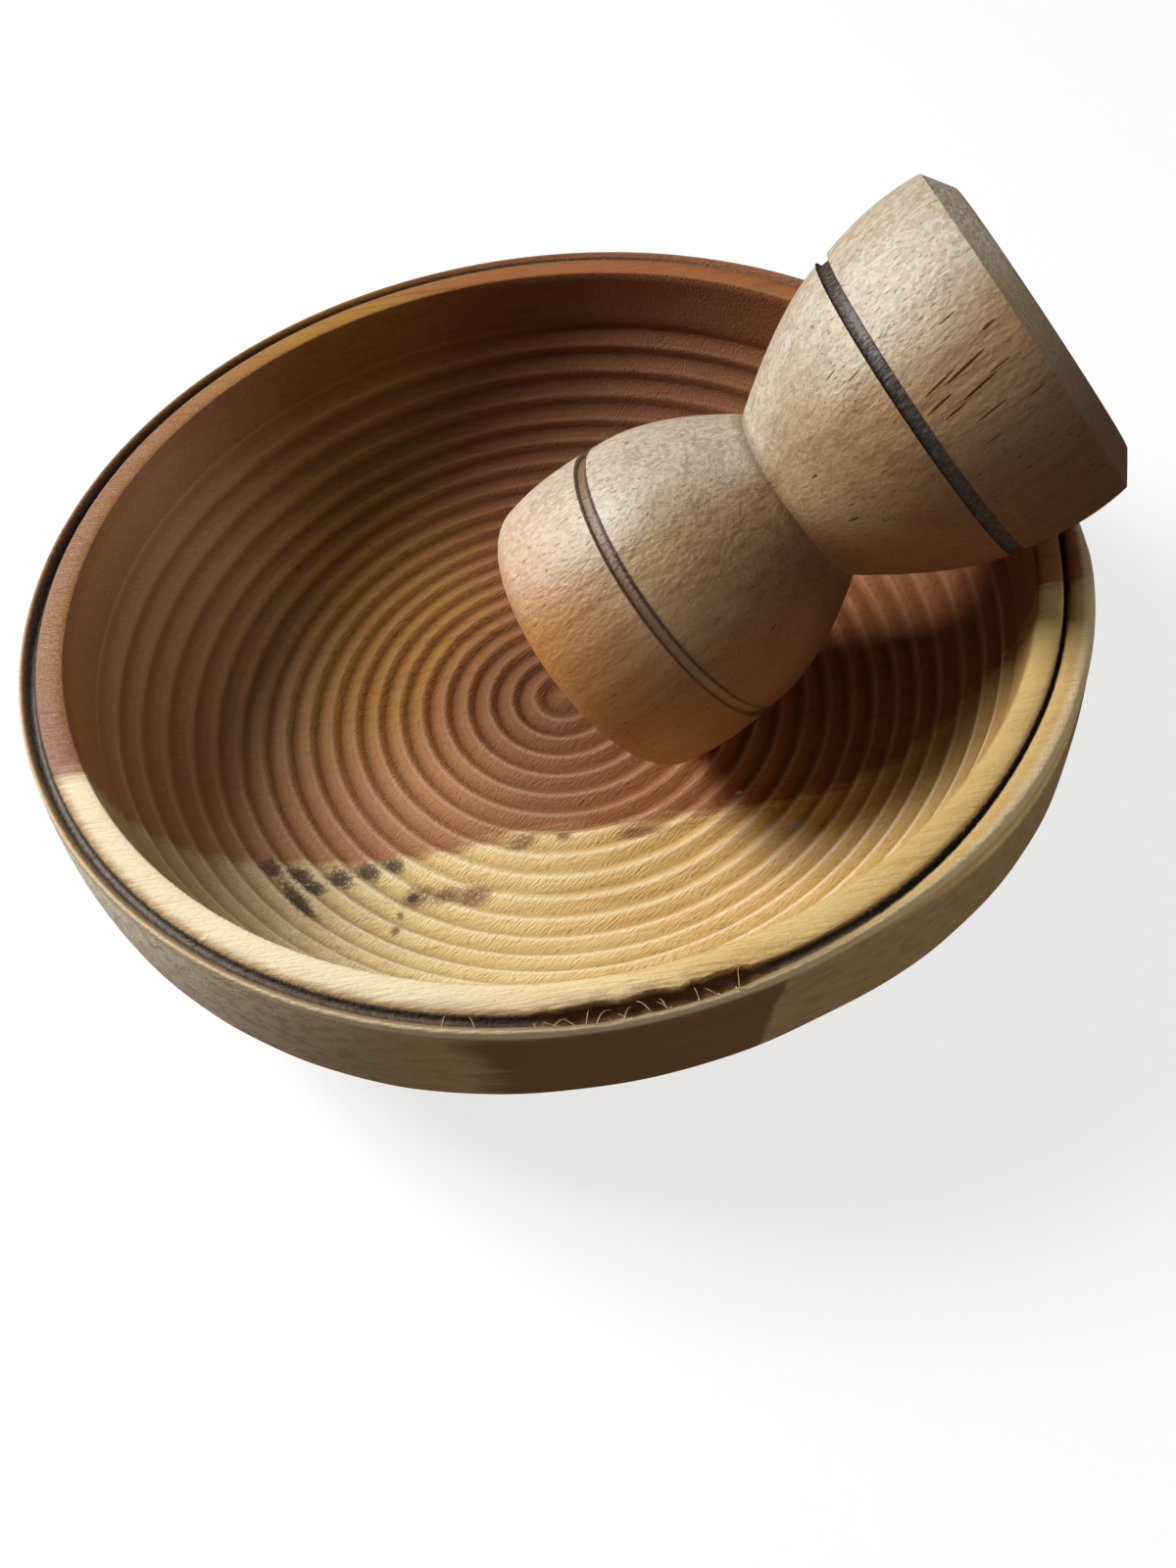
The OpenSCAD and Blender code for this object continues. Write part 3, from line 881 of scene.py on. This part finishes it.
# %% The handled side's painted sheen, the painted shade side and the crease
HANDLED_SHEEN_WHITE = tint(220, 217, 204)
SHADE_SIDE_BROWN = tint(92, 48, 10)
CREASE_SHADE_BROWN = tint(112, 84, 56)
from_axis = block.maths("MAXIMUM", block.maths("SQRT", u * u + v * v), 20)
# It points towards the window: up, to the left and a little back.
facing_window = block.maths("DIVIDE", v * 0.34 - u * 0.94, from_axis)
crackle = block.cloud(block.stretch(own, (0.8, 0.8, 0.6)), detail=4, rough=0.6, bend=1.0)
# Painted sheen and handling wear on the side towards the window.
handled_and_sheen = block.ease(facing_window + (soft - 0.5) * 0.5, 0.5, 1.1)
handled_and_sheen = handled_and_sheen * (0.5 + block.ease(crackle, 0.44, 0.58) * 0.5)
body = block.blend(body, HANDLED_SHEEN_WHITE, handled_and_sheen * 0.66)
# Painted shade on the side away from the window.
painted_shade_side = block.ease(facing_window + (soft - 0.5) * 0.3, 0.65, -0.3)
body = block.blend(body, SHADE_SIDE_BROWN, painted_shade_side * (0.86 - 0.3 * near_tip))
# Painted shade in the crease at the waist.
painted_crease_shade = block.ease(block.maths("ABSOLUTE", w - WAIST_AT), 2.2, 0.2)
body = block.blend(body, CREASE_SHADE_BROWN, painted_crease_shade * 0.5)
print("with the handled side:", len(block.tree.nodes), "nodes")

# %% [markdown]
# ## The pestle's burnt grooves
# Both grooves are scorched as the bowl's is. The upper one has worn in specks, and the lower one is dark
# on its upper half only, so each has a burn of its own, in a band across the axis.

# %% The two burnt grooves
BURN_DARK = tint(50, 42, 38)
BURN_WORN = tint(116, 94, 74)
BURN_PALE = tint(126, 96, 68)
BURN_DEEP = tint(44, 36, 32)
upper = block.ease(block.maths("ABSOLUTE", w - UPPER_GROOVE) + (dust - 0.5) * 0.5, 1.4, 1.2)
lower = block.ease(block.maths("ABSOLUTE", w - LOWER_GROOVE) + (dust - 0.5) * 0.4, 1.35, 1.15)
upper_burn = block.blend(BURN_DARK, BURN_WORN, block.ease(dust, 0.48, 0.68) * 0.75)
lower_edge = block.ease(w + (dust - 0.5) * 0.6, LOWER_GROOVE + 0.1, LOWER_GROOVE + 0.7)
lower_burn = block.blend(BURN_PALE, BURN_DEEP, lower_edge)
body = block.blend(body, upper_burn, upper)
body = block.blend(body, lower_burn, lower)
print("with its grooves:", len(block.tree.nodes), "nodes")

# %% Relief and the pestle's finish
dent = dust * 0.25 - pore * 0.7 + streak * 0.15 + dimples * 0.45
bumps = block.node("ShaderNodeBump", {}, {"Strength": 0.85, "Distance": 0.6 * MM, "Height": dent})
block.feed(Base_Color=body, Roughness=0.38 + 0.2 * dust + 0.1 * pore + 0.25 * painted_shade_side, Normal=bumps)
pestle.data.materials.append(block.material)
print("pestle_wood uses", len(block.tree.nodes), "nodes")

# %% [markdown]
# ## Hand the pieces over
# The bowl and its fibres stay with the bowl's body, and the pestle with its own, so that lifting it
# leaves nothing behind. Each new piece stands in for the CAD solid of the same shape.

# %% Ride and replace
for piece, body_name in ((bowl, "bowl"), (fibres, "bowl"), (pestle, "pestle")):
    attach(piece, body_name)
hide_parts("bowl")
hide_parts("pestle")

# %% [markdown]
# ## The studio
# A pale paper floor and a round paper backdrop behind it. Both glow a little, so that the shadow on the
# floor stays light and the background stays even from every side, and their light is kept off the wood.
# A plain white floor would need more lamps, and they would flatten the ribs' shadows.

# %% Floor
FLOOR_SIZE = 6
PAPER_DARK = (0.24, 0.24, 0.24, 1)
PAPER_PALE = (0.27, 0.27, 0.27, 1)
PAPER_GLOW = 0.75
bpy.ops.object.select_all(action="DESELECT")
bpy.ops.mesh.primitive_plane_add(size=FLOOR_SIZE, location=(0, 1, 0))
floor = bpy.context.object
floor.name = "floor"
paper = Finish("floor_paper")
fleck = paper.cloud(paper.grid(scale=(400, 400, 400)))
paper.feed(Base_Color=paper.blend(PAPER_DARK, PAPER_PALE, fleck), Roughness=0.9,
           Emission_Color=(1, 1, 1, 1), Emission_Strength=PAPER_GLOW)
floor.data.materials.append(paper.material)
floor.visible_diffuse = False
floor.visible_glossy = False
print("floor", FLOOR_SIZE, "m wide")

# %% Backdrop
BACKDROP_R = 2.4
BACKDROP_H = 3
BELOW_FLOOR = 0.01
bpy.ops.object.select_all(action="DESELECT")
bpy.ops.mesh.primitive_cylinder_add(vertices=64, radius=BACKDROP_R, depth=BACKDROP_H,
                                    end_fill_type="NOTHING", location=(0, 0, BACKDROP_H / 2 - BELOW_FLOOR))
backdrop = bpy.context.object
backdrop.name = "backdrop"
bpy.ops.object.shade_smooth()
backdrop.data.materials.append(paper.material)
backdrop.visible_diffuse = False
backdrop.visible_glossy = False
backdrop.visible_shadow = False
print("backdrop", BACKDROP_H, "m high")

# %% [markdown]
# ## The camera
# It looks steeply down into the bowl from the front, and is turned a little about its own line of sight.
# Its place and its two turns are written as matrices, because a constraint that aims it at the bowl would
# undo the second turn.

# %% Camera
EYE = Vector((2.5, -204.4, 249.6)) * MM
PITCH = math.radians(53.5)
ROLL = math.radians(-9.2)
LONG_SIDE = 1600
FOCAL = 1350
SENSOR_W = 36
camera_data = bpy.data.cameras.new("camera")
camera = bpy.data.objects.new("camera", camera_data)
bpy.context.collection.objects.link(camera)
camera_data.sensor_width = SENSOR_W
camera_data.lens = SENSOR_W * FOCAL / LONG_SIDE
camera_data.clip_start = 0.01
camera.matrix_world = (Matrix.Translation(EYE) @ Matrix.Rotation(math.pi / 2 - PITCH, 4, "X")
                       @ Matrix.Rotation(ROLL, 4, "Z"))
bpy.context.scene.camera = camera
print("camera lens", round(camera_data.lens, 1), "mm")

# %% [markdown]
# ## The light
# One window high at the left makes nearly all of the light, so that the ribs cast their shadows to the
# right. Two weak lamps, at the right and low in front, stand for what the room and the table send back,
# and the world adds a faint warm glow. A wide even sky would show the wood but lose the ribs.

# %% Light
AIM = Vector((0, 0, 0.04))
DISTANCE = 1.0
WINDOW_WHITE = (1.0, 0.99, 0.99)
ROOM_WHITE = (1.0, 0.97, 0.93)
WORLD_COLOUR = (1, 0.86, 0.7, 1)
WORLD_GLOW = 0.055


def area_light(name, azimuth, elevation, size, power, colour):
    """A square soft light aimed at the bowl, from a direction in degrees: round from +X, and up."""
    light = bpy.data.lights.new(name, "AREA")
    light.size = size
    light.energy = power
    light.color = colour
    lamp = bpy.data.objects.new(name, light)
    bpy.context.collection.objects.link(lamp)
    a = math.radians(azimuth)
    e = math.radians(elevation)
    out = Vector((math.cos(e) * math.cos(a), math.cos(e) * math.sin(a), math.sin(e)))
    lamp.location = AIM + out * DISTANCE
    lamp.rotation_euler = out.to_track_quat("Z", "Y").to_euler()
    print(name, "gives", power, "W")


area_light("window", 154, 41, 0.4, 15.2, WINDOW_WHITE)
area_light("far_wall", 2, 28, 0.6, 1.8, ROOM_WHITE)
area_light("table_glow", -85, 5, 0.6, 2.6, ROOM_WHITE)
world = bpy.data.worlds.new("studio")
bpy.context.scene.world = world
world.use_nodes = True
sky = world.node_tree.nodes["Background"]
sky.inputs["Color"].default_value = WORLD_COLOUR
sky.inputs["Strength"].default_value = WORLD_GLOW
bpy.context.scene.view_settings.view_transform = "Standard"
